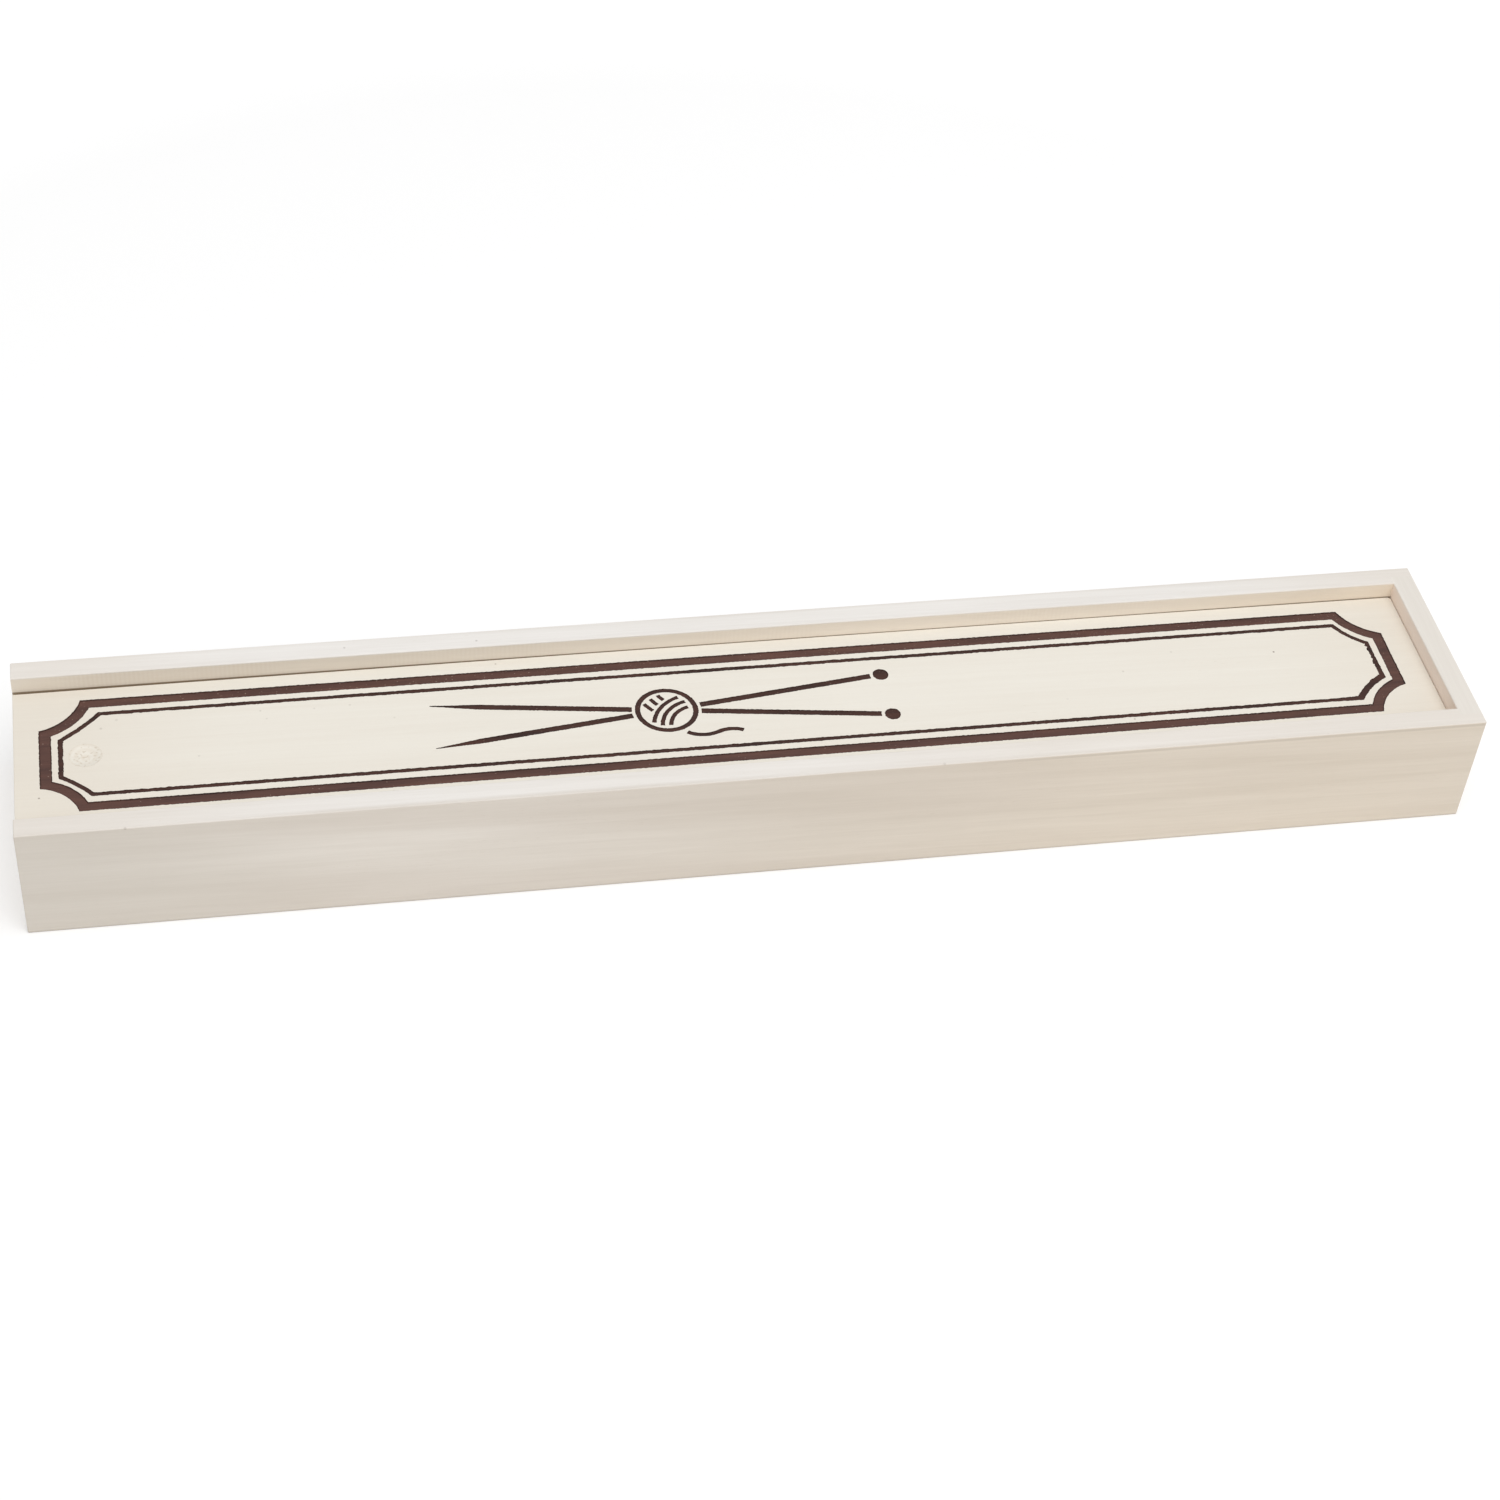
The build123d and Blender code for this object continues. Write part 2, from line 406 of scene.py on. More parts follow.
front_marks = {
    "greyer_to_open_end": ((-200, 0.30), (-105, 0.08), (10, 0.10), (100, 0.02)),
    "yellowed": ((40, 0.0), (110, 0.06), (190, 0.08)),
    "shaded_ends": ((-210, 0.24), (-110, 0.04), (0, 0.10), (90, 0.24), (200, 0.28)),
    "rim_edge_shade": ((-160, 0.05), (-120, 0.32), (-50, 0.34), (10, 0.10), (60, 0.12), (120, 0.16),
                  (200, 0.06)),
    "scuffed_from": 90,
    "flecks": ((-184.8, -35.9, 38.3, 0.4, 0.25), (48.2, -35.7, 38.4, 0.45, 0.18))}
rear_marks = {
    "greyer_to_open_end": ((-120, 0.28), (70, 0.0)),
    "yellowed": ((120, 0.0), (190, 0.12)),
    "shaded_ends": ((-210, 0.22), (-140, 0.0), (140, 0.0), (210, 0.22)),
    "rim_edge_shade": ((-200, 0.10), (-50, 0.10), (0, 0.20), (200, 0.14)),
    "scuffed_from": -100,
    "flecks": ((-118.6, 32.6, 38.5, 0.35, 0.25), (-79.6, 31.7, 38.5, 0.35, 0.3))}
for node, bare_lime, slide, contrast, marks in (
        ("front_wall", front_lime, (40, -52, 31), 0.6, front_marks),
        ("rear_wall", rear_lime, (310, 64, -47), 0.55, rear_marks)):
    limewash = new_material("limewashed_lime_" + node)
    bareness = bare_towards_needles(limewash, "Y", "X", inner_y)
    finish_board(node, lime_wood(limewash, 0, slide, wash_on_walls, bare_lime, bareness, contrast,
                                 marks_on_long_wall(limewash, **marks)))

# ---------------------------------------------------------------------------------------------
# Closed end wall and open end wall
# Short boards of the same lime wood, with the grain across the case, glued into rebates in the
# long walls. The one at the open end is low, and the lid slides out over it.
# ---------------------------------------------------------------------------------------------
rosy_wash = ("EDE8E0", "DFD8CF")
rosy_lime = ("F6E9DE", "E8D6C8")
for node, slide in (("closed_end_wall", (-80, 33, 58)), ("open_end_wall", (120, -71, 22))):
    limewash = new_material("limewashed_lime_" + node)
    bareness = bare_towards_needles(limewash, "X", "Y", inner_x)
    finish_board(node, lime_wood(limewash, 90, slide, rosy_wash, rosy_lime, bareness, 0.55))

# ---------------------------------------------------------------------------------------------
# Floor panel
# Thin sanded panel of poplar, glued flush into a rebate round the underside. It has no wash.
# ---------------------------------------------------------------------------------------------
bare_poplar = ("EFE3CF", "D9C7A8")
poplar = new_material("sanded_poplar_panel")
finish_board("floor_panel", lime_wood(
    poplar, 0, (-200, 15, 90), bare_poplar, bare_poplar, 0.0, 0.8))

# ---------------------------------------------------------------------------------------------
# Sliding lid
# One lime board with a tongue rebated round three sides, which runs in the groove. Its field
# stands up between the walls, with rounded corners at the closed end. The top has warmer wash.
# ---------------------------------------------------------------------------------------------
lid_low, lid_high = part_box("sliding_lid")
field_height = 3 * mm
field_x = inner_x - 0.12 * mm
field_y = inner_y - 0.5 * mm
field_corner = 0.8 * mm
lid_arris = 0.3 * mm
bow = 0.7 * mm
narrowest_x = 75 * mm
tongue_top = lid_high.z - field_height
tiny = 0.01 * mm
wash_on_lid = ("F2EEE4", "E8E1D5")


def middle(item):
    """The middle of an edge or a face."""
    return sum((vertex.co for vertex in item.verts), Vector()) / len(item.verts)


def choose(kind, wanted):
    """In edit mode, selects just the edges or faces that pass a test."""
    bpy.ops.mesh.select_mode(type=kind)
    bpy.ops.mesh.select_all(action="DESELECT")
    mesh = bpy.context.edit_object.data
    shape = bmesh.from_edit_mesh(mesh)
    for item in shape.edges if kind == "EDGE" else shape.faces:
        if wanted(item):
            item.select_set(True)
    bmesh.update_edit_mesh(mesh)


def start(name, size=(1, 1, 1)):
    """Names and sizes the primitive just added, sets it in its mesh and opens it for editing."""
    piece = bpy.context.object
    piece.name = name
    piece.scale = size
    bpy.ops.object.transform_apply(location=True, rotation=True, scale=True)
    bpy.ops.object.mode_set(mode="EDIT")
    return piece


def cut(piece, cutter):
    """Takes the cutter's form out of the piece. The new faces get the cutter's material."""
    saw = piece.modifiers.new("cut", "BOOLEAN")
    saw.object = cutter
    saw.solver = "EXACT"
    saw.material_mode = "TRANSFER"
    bpy.context.view_layer.objects.active = piece
    bpy.ops.object.modifier_apply(modifier=saw.name)
    bpy.data.objects.remove(cutter)


def on_field_corner(edge):
    """True for the two upright edges of the field at the closed end."""
    spot = middle(edge)
    upright = abs(edge.verts[0].co.z - edge.verts[1].co.z) > tiny
    return upright and spot.z > tongue_top + tiny \
        and abs(spot.x - field_x) < tiny and abs(abs(spot.y) - field_y) < tiny


bpy.ops.object.select_all(action="DESELECT")
tongue_size = Vector((lid_high.x - lid_low.x, lid_high.y - lid_low.y, tongue_top - lid_low.z))
tongue_middle = Vector(((lid_low.x + lid_high.x) / 2, 0, (lid_low.z + tongue_top) / 2))
bpy.ops.mesh.primitive_cube_add(size=1, location=tongue_middle)
lid = start("lid_board", tongue_size)
for cut_place, cut_normal in (((field_x, 0, 0), (1, 0, 0)),
                              ((0, field_y, 0), (0, 1, 0)),
                              ((0, -field_y, 0), (0, 1, 0))):
    bpy.ops.mesh.select_all(action="SELECT")
    bpy.ops.mesh.bisect(plane_co=cut_place, plane_no=cut_normal)
choose("FACE", lambda face: face.normal.z > 0.9 and abs(middle(face).y) < field_y
       and middle(face).x < field_x)
bpy.ops.mesh.extrude_region_move(TRANSFORM_OT_translate={"value": (0, 0, field_height)})
choose("EDGE", on_field_corner)
bpy.ops.mesh.bevel(offset=field_corner, segments=5, affect="EDGES")

# The board is a little bowed, so its gap at the rear wall is widest at the open end
choose("EDGE", lambda edge: abs(middle(edge).y - field_y) < tiny
       and middle(edge).z > tongue_top - tiny and edge.calc_length() > 100 * mm)
bpy.ops.mesh.subdivide(number_cuts=24)
bpy.ops.object.mode_set(mode="OBJECT")
for vertex in lid.data.vertices:
    if abs(vertex.co.y - field_y) < tiny and vertex.co.z > tongue_top - tiny:
        from_narrowest = (vertex.co.x - narrowest_x) / (narrowest_x - lid_low.x)
        vertex.co.y += bow / 2 - bow * from_narrowest ** 2
bpy.ops.object.mode_set(mode="EDIT")
choose("EDGE", lambda edge: all(abs(vertex.co.z - lid_high.z) < tiny for vertex in edge.verts))
bpy.ops.mesh.bevel(offset=lid_arris, segments=2, affect="EDGES")
bpy.ops.object.mode_set(mode="OBJECT")

lid_wash = new_material("limewashed_lime_lid")
lid_place = add(lid_wash, "TexCoord", {}, {})
lid_facing = add(lid_wash, "SeparateXYZ", {}, {"Vector": (lid_place, "Normal")})
# The wash covers the lid's top face and thins out over its rounded edges
lid_bareness = add(lid_wash, "MapRange", {}, {
    "Value": (lid_facing, "Z"), "From Min": 0.2, "From Max": 0.8, "To Min": 1.0, "To Max": 0.0})
lid_flecks = [(x, y, lid_high.z / mm, radius, darkness) for x, y, radius, darkness in (
    (162.7, 7.3, 0.3, 0.8), (-208.2, -16.0, 0.3, 0.6), (130.8, 10.6, 0.35, 0.15),
    (113.6, 3.5, 0.35, 0.2), (111.4, -17.6, 0.3, 0.5), (93.4, -6.8, 0.4, 0.08),
    (-185.8, 14.1, 0.45, 0.15), (-190.3, 10.9, 0.4, 0.2), (-163.2, -3.5, 0.35, 0.15),
    (-144.7, 13.6, 0.3, 0.2), (-143.1, 10.1, 0.3, 0.15), (-118.8, 13.4, 0.35, 0.15),
    (-129.2, 13.0, 0.3, 0.15), (-106.5, 6.6, 0.35, 0.12), (-109.7, -23.8, 0.3, 0.2),
    (-74.5, 26.7, 0.3, 0.35))]
# Painted shade towards both ends of the lid, where the light falls off, with a warmer tone
painted_shade_at_lid_ends = marks_and_shade_along(lid_wash, ((-210, 0.22), (-150, 0.0), (150, 0.0), (210, 0.22)), True)
lid.data.materials.append(lime_wood(
    lid_wash, 0, (170, 5, -33), wash_on_lid, rear_lime, (lid_bareness, "Result"), 0.4,
    [(painted_shade_at_lid_ends, painted_end_shade), (flecks_of_bark(lid_wash, lid_flecks), bark)]))

# ---------------------------------------------------------------------------------------------
# Thumb recess
# A shallow dish turned into the lid with a ball-nosed cutter. The wash lies thin in it, over
# open grain and faint rings from the cutter.
# ---------------------------------------------------------------------------------------------
thumb_radius = 4.85 * mm
thumb_depth = 1.1 * mm
thumb_place = Vector((lid_low.x + 20 * mm, 0.2 * mm, lid_high.z))
ball_radius = (thumb_radius ** 2 + thumb_depth ** 2) / (2 * thumb_depth)
open_grain = ("DDCDB6", "C4AE92")
torn_grain = "B29C7C"

dish_wash = new_material("thinly_washed_turned_dish")
dish_place = add(dish_wash, "TexCoord", {}, {})
from_dish = add(dish_wash, "Mapping", {}, {
    "Vector": (dish_place, "Object"), "Location": -thumb_place / mm,
    "Scale": (1 / mm, 1 / mm, 1 / mm)})
# Cutter rings 1.9 mm apart, broken up where the wash filled them
cutter_rings = add(dish_wash, "TexWave", {
    "wave_type": "RINGS", "rings_direction": "Z", "wave_profile": "SIN"}, {
    "Vector": (from_dish, "Vector"), "Scale": 0.165, "Distortion": 2.0, "Detail Scale": 0.7})
filled = grain_noise(dish_wash, from_dish, 2.5, 2.5, {"Detail": 2.0})
dish_rings = add(dish_wash, "Math", {"operation": "MULTIPLY"}, {
    0: (cutter_rings, "Fac"), 1: (filled, "Fac")})
dish_bareness = add(dish_wash, "MapRange", {}, {
    "Value": (dish_rings, "Value"), "From Max": 0.6, "To Min": 0.04, "To Max": 0.26})
# Fibre ends torn out by the cutter, just under 1 mm across
torn_fibres = grain_noise(dish_wash, from_dish, 0.9, 0.7, {"Detail": 0.0})
torn_specks = add(dish_wash, "MapRange", {"interpolation_type": "SMOOTHSTEP"}, {
    "Value": (torn_fibres, "Fac"), "From Min": 0.6, "From Max": 0.75,
    "To Min": 0.0, "To Max": 0.3})
lime_wood(dish_wash, 0, (31, 12, 7), wash_on_lid, open_grain, (dish_bareness, "Result"), 0.9,
          [((torn_specks, "Result"), torn_grain)])

bpy.ops.object.select_all(action="DESELECT")
bpy.ops.mesh.primitive_uv_sphere_add(
    segments=96, ring_count=48, radius=ball_radius,
    location=thumb_place + Vector((0, 0, ball_radius - thumb_depth)))
ball_cutter = start("ball_cutter")
bpy.ops.mesh.select_all(action="SELECT")
bpy.ops.mesh.faces_shade_smooth()
bpy.ops.object.mode_set(mode="OBJECT")
ball_cutter.data.materials.append(dish_wash)
cut(lid, ball_cutter)

# ---------------------------------------------------------------------------------------------
# Border
# A broad band with scooped corners and a thin line inside it, burnt into the wood and rubbed
# with umber stain through a hand-cut stencil. The line and the band's edges are charred
# darkest, and a little torn along the fibres.
# ---------------------------------------------------------------------------------------------
burn_depth = 0.25 * mm
char_depth = 0.17 * mm
char_width = 0.35 * mm
band_width = 3.5 * mm
line_width = 1.45 * mm
band_low = Vector((lid_low.x + 7.1 * mm, -inner_y + 6.5 * mm))
band_high = Vector((inner_x - 8.8 * mm, inner_y - 5.4 * mm))
line_low = band_low + Vector((5.3, 5.8)) * mm
line_high = band_high - Vector((5.4, 5.6)) * mm
# Each corner's scoop: which corner, how much it takes of the sides along X and Y, and how far
# its arc curves in from a straight cut, in mm. The stencil was cut by hand, so they differ.
band_scoops = ((-1, 1, 12.0, 12.0, 2.3), (-1, -1, 10.6, 10.2, 2.2),
               (1, 1, 11.2, 11.2, 1.8), (1, -1, 10.8, 11.3, 2.1))
line_scoops = ((-1, 1, 11.7, 10.6, 0.5), (-1, -1, 8.9, 8.0, 0.5),
               (1, 1, 8.5, 9.2, 0.9), (1, -1, 10.3, 9.3, 0.8))
unstained_fibre = "CDB8A6"


def burnt_lime(name, darkest, lightest, specks):
    """Burnt and stained wood. specks says how strong the pale fibres are that took no stain."""
    burnt = new_material(name)
    place = add(burnt, "TexCoord", {}, {})
    board = add(burnt, "Mapping", {}, {
        "Vector": (place, "Object"), "Scale": (1 / mm, 1 / mm, 1 / mm)})
    # The stain pooled in patches of 26 by 3 mm and soaked in along fibres of 0.5 mm
    pools = grain_noise(burnt, board, 26, 3, {"Detail": 3.0})
    fibres = grain_noise(burnt, board, 5, 0.5, {"Detail": 3.0, "Roughness": 0.7})
    tone = blend_in(burnt, (pools, "Fac"), (fibres, "Fac"), 0.6)
    umber = add(burnt, "ValToRGB", {}, {"Fac": (tone, "Value")})
    umber.color_ramp.elements[0].position = 0.25
    umber.color_ramp.elements[0].color = linear(darkest)
    umber.color_ramp.elements[1].position = 0.75
    umber.color_ramp.elements[1].color = linear(lightest)
    # Specks 0.3 mm across, more of them towards the rear wall
    point = add(burnt, "SeparateXYZ", {}, {"Vector": (place, "Object")})
    speck_limit = add(burnt, "MapRange", {}, {
        "Value": (point, "Y"), "From Min": -20 * mm, "From Max": 20 * mm,
        "To Min": 0.81, "To Max": 0.77})
    missed = grain_noise(burnt, board, 0.6, 0.35, {"Detail": 0.0})
    over_limit = add(burnt, "Math", {"operation": "SUBTRACT"}, {
        0: (missed, "Fac"), 1: (speck_limit, "Result")})
    pale_specks = add(burnt, "MapRange", {"interpolation_type": "SMOOTHSTEP"}, {
        "Value": (over_limit, "Value"), "From Min": 0.0, "From Max": 0.06,
        "To Min": 0.0, "To Max": specks})
    colour = add(burnt, "Mix", {"data_type": "RGBA"}, {
        "Factor": (pale_specks, "Result"), "A": (umber, "Color"), "B": linear(unstained_fibre)})
    relief = add(burnt, "Bump", {}, {
        "Height": (fibres, "Fac"), "Distance": 0.06 * mm, "Strength": 0.6})
    shader = burnt.node_tree.nodes["Principled BSDF"]
    shader.inputs["Roughness"].default_value = 0.7
    shader.inputs["Specular IOR Level"].default_value = 0.3
    burnt.node_tree.links.new(colour.outputs["Result"], shader.inputs["Base Color"])
    burnt.node_tree.links.new(relief.outputs["Normal"], shader.inputs["Normal"])
    return burnt


def scoop_rounds(low, high, scoops):
    """The middle and radius of the round that scoops each corner."""
    for side_x, side_y, cut_x, cut_y, rise in scoops:
        corner = Vector((high.x if side_x > 0 else low.x, high.y if side_y > 0 else low.y))
        chord_middle = corner - Vector((side_x * cut_x, side_y * cut_y)) * mm / 2
        half_chord = math.hypot(cut_x, cut_y) * mm / 2
        radius = (half_chord ** 2 + (rise * mm) ** 2) / (2 * rise * mm)
        outward = Vector((side_x * cut_y, side_y * cut_x)).normalized()
        yield chord_middle + outward * (radius - rise * mm), radius


def distance_inward(spot, low, high, scoops):
    """How far inside a scooped outline a spot lies."""
    from_sides = [spot.x - low.x, high.x - spot.x, spot.y - low.y, high.y - spot.y]
    return min(from_sides + [(spot - round_middle).length - radius
                             for round_middle, radius in scoop_rounds(low, high, scoops)])


def scooped_block(name, low, high, scoops, inward, thickness):
    """A long block with scooped corners. inward makes it smaller by as much all round."""
    size = high - low
    bpy.ops.object.select_all(action="DESELECT")
    bpy.ops.mesh.primitive_cube_add(size=1, location=(*(high + low) / 2, 0))
    block = start(name, (size.x - 2 * inward, size.y - 2 * inward, thickness))
    bpy.ops.object.mode_set(mode="OBJECT")
    for round_middle, radius in scoop_rounds(low, high, scoops):
        bpy.ops.object.select_all(action="DESELECT")
        bpy.ops.mesh.primitive_cylinder_add(
            vertices=160, radius=radius + inward, depth=2 * thickness, location=(*round_middle, 0))
        cut(block, bpy.context.object)
    return block


def stencil_frame(name, low, high, scoops, from_inward, to_inward):
    """A flat frame along a scooped outline, between two distances inward from it."""
    flat_frame = scooped_block(name, low, high, scoops, from_inward, mm)
    cut(flat_frame, scooped_block("opening", low, high, scoops, to_inward, 3 * mm))
    bpy.ops.object.mode_set(mode="EDIT")
    choose("FACE", lambda face: face.normal.z < 0.9)
    bpy.ops.mesh.delete(type="FACE")
    bpy.ops.object.mode_set(mode="OBJECT")
    return flat_frame


def divide_outline(piece, longest_step):
    """Halves the edges of a flat shape's outline until none is longer than a step."""
    bpy.context.view_layer.objects.active = piece
    bpy.ops.object.mode_set(mode="EDIT")
    while True:
        choose("EDGE", lambda edge: edge.is_boundary and edge.calc_length() > longest_step)
        if not any(edge.select for edge in bmesh.from_edit_mesh(piece.data).edges):
            break
        bpy.ops.mesh.subdivide(number_cuts=1)
    bpy.ops.object.mode_set(mode="OBJECT")


def tear_edges(piece, *tears):
    """Moves a flat shape's outline to and fro across its run, as fibres tear at a stencil's edge.
    tears say how long the tears are, how far they reach, and the share of that at each vertex."""
    outline = bmesh.new()
    outline.from_mesh(piece.data)
    across = []
    for vertex in outline.verts:
        runs = [(edge.verts[1].co - edge.verts[0].co).normalized()
                for edge in vertex.link_edges if edge.is_boundary]
        across.append((sum(abs(run.y) for run in runs) / 2, sum(abs(run.x) for run in runs) / 2))
    outline.free()
    bpy.context.view_layer.objects.active = piece
    for size, reach, shares in tears:
        for axis, noise_basis in enumerate(("ORIGINAL_PERLIN", "IMPROVED_PERLIN")):
            torn = piece.vertex_groups.new(name="torn")
            for index, share in enumerate(shares or [1] * len(across)):
                torn.add([index], share * across[index][axis], "REPLACE")
            fibre_ends = bpy.data.textures.new("fibre_ends", "CLOUDS")
            fibre_ends.noise_scale = size
            fibre_ends.noise_basis = noise_basis
            tear = piece.modifiers.new("tear", "DISPLACE")
            tear.texture = fibre_ends
            tear.direction = "XY"[axis]
            tear.strength = reach
            tear.vertex_group = torn.name
            bpy.ops.object.modifier_apply(modifier=tear.name)
            piece.vertex_groups.clear()


def lay_in_lid(flat_shape, finish, depth):
    """Gives a flat shape its finish, and lays it at its depth below the lid's top face."""
    flat_shape.data.materials.clear()
    flat_shape.data.materials.append(finish)
    # Whatever is selected is opened for editing too
    bpy.ops.object.select_all(action="DESELECT")
    bpy.context.view_layer.objects.active = flat_shape
    bpy.ops.object.mode_set(mode="EDIT")
    bpy.ops.mesh.select_all(action="SELECT")
    bpy.ops.transform.resize(value=(1, 1, 0), center_override=(0, 0, 0))
    bpy.ops.transform.translate(value=(0, 0, lid_high.z - depth))
    bpy.ops.object.mode_set(mode="OBJECT")


def join_to(piece, others):
    """Joins other pieces to a piece and opens it for editing."""
    bpy.ops.object.select_all(action="DESELECT")
    for other in (piece, *others):
        other.select_set(True)
    bpy.context.view_layer.objects.active = piece
    bpy.ops.object.join()
    bpy.ops.object.mode_set(mode="EDIT")


umber_lime = burnt_lime("burnt_and_umber_stained_lime", "4A322D", "62433A", 0.6)
charred_lime = burnt_lime("charred_lime", "2A1712", "4A2C23", 0.2)
band = stencil_frame("band_stencil", band_low, band_high, band_scoops, 0, band_width)
band_bed = stencil_frame(
    "band_bed", band_low, band_high, band_scoops, char_width, band_width - char_width)
line = stencil_frame("line_stencil", line_low, line_high, line_scoops, 0, line_width)
for wide_frame, finish, depth in ((band, charred_lime, char_depth),
                                  (band_bed, umber_lime, burn_depth)):
    divide_outline(wide_frame, 0.7 * mm)
    tear_edges(wide_frame, (0.7 * mm, 0.5 * mm, None))
    lay_in_lid(wide_frame, finish, depth)

# The band's charred edges slope down to its bed: all of the band but its two outlines is
# deleted, and each outline is bridged to the bed's
bpy.context.view_layer.objects.active = band
bpy.ops.object.mode_set(mode="EDIT")
choose("EDGE", lambda edge: edge.is_boundary)
bpy.ops.mesh.duplicate()
choose("FACE", lambda face: True)
bpy.ops.mesh.delete(type="FACE")
bpy.ops.object.mode_set(mode="OBJECT")
join_to(band, [band_bed])
for from_inward, to_inward in ((-mm, band_width / 2), (band_width / 2, band_width + mm)):
    choose("EDGE", lambda edge: (edge.is_wire or edge.is_boundary)
           and from_inward < distance_inward(middle(edge).xy, band_low, band_high,
                                             band_scoops) < to_inward)
    bpy.ops.mesh.bridge_edge_loops()
choose("FACE", lambda face: any(vertex.co.z > lid_high.z - burn_depth + tiny
                                for vertex in face.verts))
band.active_material_index = 0
bpy.ops.object.material_slot_assign()
bpy.ops.object.mode_set(mode="OBJECT")

# The line is torn worst along its inner edge, in the last 13 mm before the closed end and less
# in the first 10 mm at the open end. At the near corner of the closed end the stencil had
# lifted, and the scooped piece came out too wide.
divide_outline(line, 0.4 * mm)
lifted_round, lifted_radius = list(scoop_rounds(line_low, line_high, line_scoops))[-1]
too_wide = 0.7 * mm
torn_worst = []
for vertex in line.data.vertices:
    spot = vertex.co.xy
    inward = distance_inward(spot, line_low, line_high, line_scoops)
    inner_edge = max(0.0, min(1.0, inward / line_width))
    at_end = max(0.1, 1 - (line_high.x - spot.x) / (15 * mm),
                 0.3 - (spot.x - line_low.x) / (50 * mm))
    torn_worst.append(inner_edge * at_end)
    aside = spot - lifted_round
    lifted = max(0.0, 1 - max(0.0, aside.length - lifted_radius - line_width) / (5 * mm))
    vertex.co.xy += aside.normalized() * (inner_edge - 0.5) * too_wide * lifted
tear_edges(line, (0.6 * mm, 0.45 * mm, None), (1.7 * mm, 0.5 * mm, None),
           (1.0 * mm, 1.8 * mm, torn_worst))
lay_in_lid(line, charred_lime, char_depth)

# ---------------------------------------------------------------------------------------------
# Needles and yarn
# The motif in the middle of the lid, burnt and charred like the line: two crossed knitting
# needles with round heads behind a ball of yarn, with gaps where the stencil's bridges were.
# ---------------------------------------------------------------------------------------------
motif_middle = Vector((-27, 1.2, 0)) * mm
needle_half = 69.5 * mm
needle_width = 2.1 * mm
needle_taper = 14 * mm
needle_angle = 7.5
head_radius = 2.4 * mm
yarn_radius = 9.4 * mm
yarn_rim_width = 1.6 * mm
bridge = 0.9 * mm
strand_width = 1.3 * mm
loose_end_width = 1.5 * mm


def flat_stroke(name, low_x, high_x, width):
    """A straight stroke along X through the motif's middle, opened for editing."""
    bpy.ops.object.select_all(action="DESELECT")
    bpy.ops.mesh.primitive_plane_add(
        size=1, location=motif_middle + Vector(((low_x + high_x) / 2, 0, 0)))
    return start(name, (high_x - low_x, width, 1))


def arc_stroke(name, arc_middle, radius, start_angle, turn, width, turn_back=0):
    """A stroke round arc_middle, spun from a short first length, that may then bend the other
    way by turn_back, with the same radius. Angles in degrees."""
    first = 0.05 * mm
    bpy.ops.object.select_all(action="DESELECT")
    bpy.ops.mesh.primitive_plane_add(size=1, location=(radius, -math.copysign(first / 2, turn), 0))
    stroke = start(name, (width, first, 1))
    choose("EDGE", lambda edge: abs(middle(edge).y) < tiny and edge.calc_length() > first * 1.5)
    bpy.ops.mesh.spin(steps=max(6, round(abs(turn) / 6)), angle=-math.radians(turn),
                      center=(0, 0, 0), axis=(0, 0, 1))
    if turn_back:
        across = (2 * radius * math.cos(math.radians(turn)),
                  2 * radius * math.sin(math.radians(turn)), 0)
        bpy.ops.mesh.spin(steps=max(6, round(abs(turn_back) / 6)), angle=math.radians(turn_back),
                          center=across, axis=(0, 0, 1))
    bpy.ops.object.mode_set(mode="OBJECT")
    stroke.rotation_euler = (0, 0, math.radians(start_angle))
    stroke.location = arc_middle
    bpy.ops.object.transform_apply(location=True, rotation=True, scale=True)
    return stroke


strokes = []
for lean in (needle_angle, -needle_angle):
    tip_part = flat_stroke(
        "needle_tip", needle_taper - needle_half, -yarn_radius - bridge, needle_width)
    taper_start = motif_middle.x + needle_taper - needle_half
    choose("EDGE", lambda edge: abs(middle(edge).x - taper_start) < tiny)
    bpy.ops.mesh.extrude_edges_move(TRANSFORM_OT_translate={"value": (-needle_taper, 0, 0)})
    bpy.ops.transform.resize(value=(1, 0.15, 1), center_override=motif_middle)
    bpy.ops.object.mode_set(mode="OBJECT")
    shaft = flat_stroke(
        "needle_shaft", yarn_radius + bridge, needle_half - 2 * head_radius - bridge, needle_width)
    bpy.ops.object.mode_set(mode="OBJECT")
    bpy.ops.object.select_all(action="DESELECT")
    bpy.ops.mesh.primitive_circle_add(
        vertices=48, radius=head_radius, fill_type="NGON",
        location=motif_middle + Vector((needle_half - head_radius, 0, 0)))
    head = start("needle_head")
    bpy.ops.object.mode_set(mode="OBJECT")
    turned = Matrix.Translation(motif_middle) @ Matrix.Rotation(math.radians(lean), 4, "Z") \
        @ Matrix.Translation(-motif_middle)
    for part in (tip_part, shaft, head):
        part.data.transform(turned)
        strokes.append(part)

bpy.ops.object.select_all(action="DESELECT")
bpy.ops.mesh.primitive_circle_add(
    vertices=96, radius=yarn_radius, fill_type="NGON", location=motif_middle)
yarn_rim = start("yarn_rim")
choose("FACE", lambda face: True)
bpy.ops.mesh.inset(thickness=yarn_rim_width, use_even_offset=True)
bpy.ops.mesh.delete(type="FACE")
bpy.ops.object.mode_set(mode="OBJECT")

# Strands wound one way round a point at the lower right, and short ones crosswise above them
wound_round = motif_middle + Vector((8.8, -7.4, 0)) * mm
for radius, half_turn in ((8.5, 34), (11.0, 35), (13.5, 29.5)):
    strokes.append(arc_stroke(
        "strand", wound_round, radius * mm, 140 - half_turn, 2 * half_turn, strand_width))
crosswise_round = motif_middle + Vector((10.3, 12.3, 0)) * mm
for radius, first_angle in ((13.2, 216.5), (16.0, 217.5), (18.8, 220.0)):
    strokes.append(arc_stroke(
        "cross_strand", crosswise_round, radius * mm, first_angle, -11.5, strand_width))
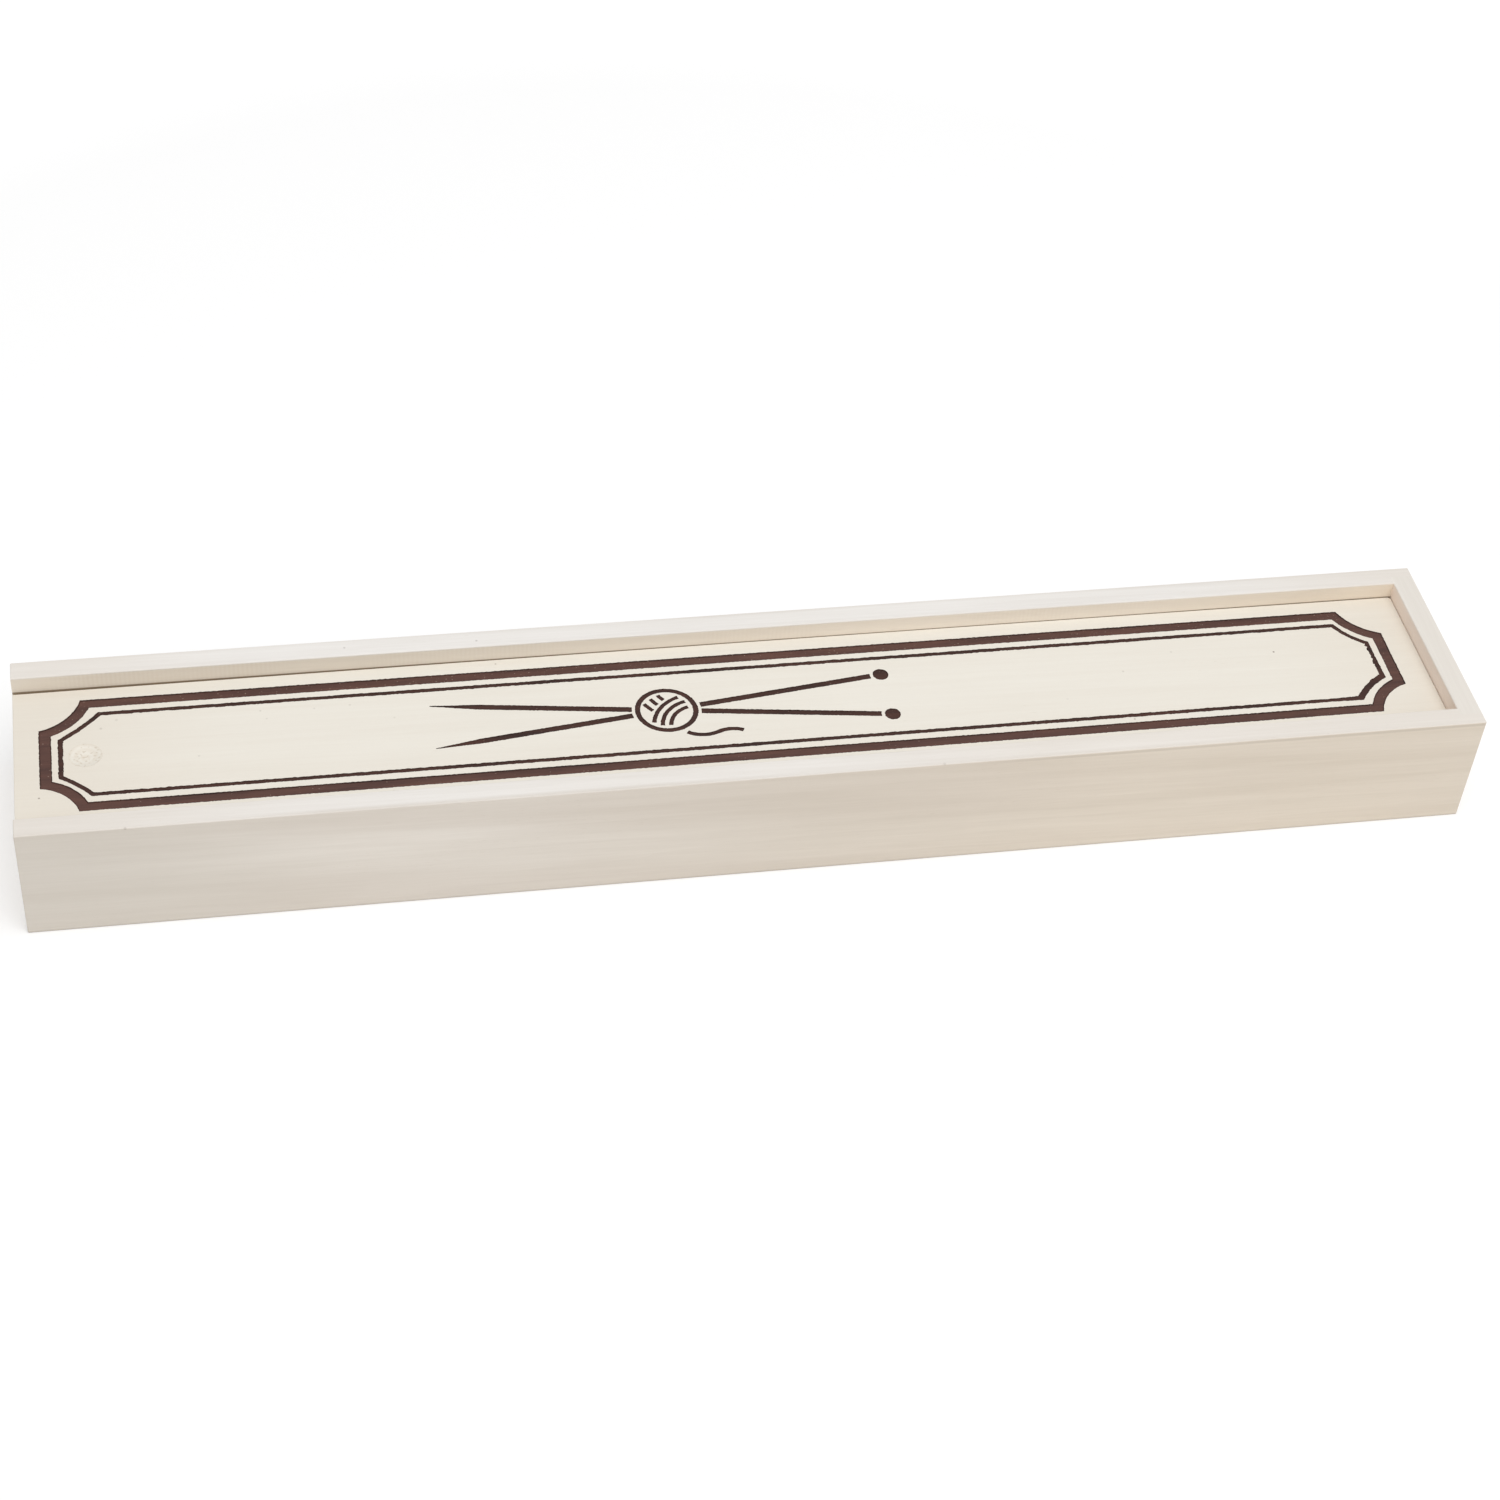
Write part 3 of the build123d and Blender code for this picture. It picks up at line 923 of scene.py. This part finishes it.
# The loose end runs out below the ball in a wave
loose_end_round = motif_middle + Vector((9.8, -2.6, 0)) * mm
strokes.append(arc_stroke(
    "loose_end", loose_end_round, 9 * mm, 235, 60, loose_end_width, turn_back=50))

join_to(yarn_rim, strokes)
bpy.ops.mesh.select_all(action="SELECT")
bpy.ops.mesh.remove_doubles(threshold=0.004 * mm)
bpy.ops.mesh.normals_make_consistent(inside=False)
bpy.ops.object.mode_set(mode="OBJECT")
divide_outline(yarn_rim, 0.6 * mm)
bpy.ops.object.mode_set(mode="EDIT")
choose("EDGE", lambda edge: not edge.is_boundary)
bpy.ops.mesh.dissolve_edges(use_verts=False)
bpy.ops.object.mode_set(mode="OBJECT")
tear_edges(yarn_rim, (0.6 * mm, 0.5 * mm, None))
lay_in_lid(yarn_rim, charred_lime, char_depth)

# Band, line and motif are burnt in at one go: the flat shapes become low blocks that stand
# through the lid's top face, and come out of it
join_to(band, [line, yarn_rim])
bpy.ops.mesh.select_all(action="SELECT")
bpy.ops.mesh.extrude_region_move(TRANSFORM_OT_translate={"value": (0, 0, mm)})
bpy.ops.mesh.select_all(action="SELECT")
bpy.ops.mesh.normals_make_consistent(inside=False)
bpy.ops.object.mode_set(mode="OBJECT")
cut(lid, band)

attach(lid, "lid")
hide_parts("sliding_lid")

# ---------------------------------------------------------------------------------------------
# The table under the case, soft daylight and the camera
# A matt white board 8 m across and one large soft lamp above the front of the case. The camera
# stands at the photograph's place. All in metres.
# ---------------------------------------------------------------------------------------------
bpy.ops.object.select_all(action="DESELECT")
bpy.ops.mesh.primitive_plane_add(size=8, location=(0, 0, 0))
table = bpy.context.object
table.name = "white_table"
white_board = new_material("matt_white_board")
board_shader = white_board.node_tree.nodes["Principled BSDF"]
board_shader.inputs["Base Color"].default_value = linear("F2F2F2")
board_shader.inputs["Roughness"].default_value = 0.95


def seen(surroundings):
    """1 where the camera looks, directly, in a reflection or through something clear."""
    ray = add(surroundings, "LightPath", {}, {})
    mirrored = add(surroundings, "Math", {"operation": "MAXIMUM"}, {
        0: (ray, "Is Camera Ray"), 1: (ray, "Is Glossy Ray")})
    return add(surroundings, "Math", {"operation": "MAXIMUM"}, {
        0: (mirrored, "Value"), 1: (ray, "Is Transmission Ray")}), "Value"


# Where it is seen, the board is lifted to white and keeps the shadow on it. Well away from the
# case it is lifted more, as less light falls on it.
board_place = add(white_board, "TexCoord", {}, {})
away = add(white_board, "VectorMath", {"operation": "LENGTH"}, {0: (board_place, "Object")})
white_lift = add(white_board, "MapRange", {}, {
    "Value": (away, "Value"), "From Min": 0.4, "From Max": 1.5, "To Min": 0.16, "To Max": 1.0})
lift = add(white_board, "Math", {"operation": "MULTIPLY"}, {
    0: (white_lift, "Result"), 1: seen(white_board)})
board_shader.inputs["Emission Color"].default_value = (1, 1, 1, 1)
white_board.node_tree.links.new(lift.outputs["Value"], board_shader.inputs["Emission Strength"])
table.data.materials.append(white_board)

world = bpy.data.worlds.new("studio")
bpy.context.scene.world = world
world.use_nodes = True
backdrop = world.node_tree.nodes["Background"]
backdrop.inputs["Color"].default_value = (1, 1, 1, 1)
# Full white where it is seen past the table, and softer as light on the case
strength = add(world, "MapRange", {}, {"Value": seen(world), "To Min": 0.6, "To Max": 1.0})
world.node_tree.links.new(strength.outputs["Result"], backdrop.inputs["Strength"])

bpy.ops.object.light_add(type="AREA", location=(0.3, -1.0, 2.4))
softbox = bpy.context.object
softbox.name = "softbox"
softbox.data.size = 2.4
softbox.data.energy = 36
softbox.rotation_euler = (-softbox.location).to_track_quat("-Z", "Y").to_euler()

camera_place = Vector((-159.53, -632.31, 623.69)) * mm
camera_aim = Vector((-12.90, -46.35, 0)) * mm
camera_roll = 5.34
bpy.ops.object.camera_add(location=camera_place)
camera = bpy.context.object
camera.data.lens = 71.26
camera.data.sensor_width = 36
camera.data.shift_x = 0.01
camera.data.shift_y = 0.10
aim = (camera_aim - camera_place).to_track_quat("-Z", "Y").to_matrix()
camera.rotation_euler = (aim @ Matrix.Rotation(math.radians(camera_roll), 3, "Z")).to_euler()
bpy.context.scene.camera = camera
bpy.context.scene.view_settings.view_transform = "Standard"
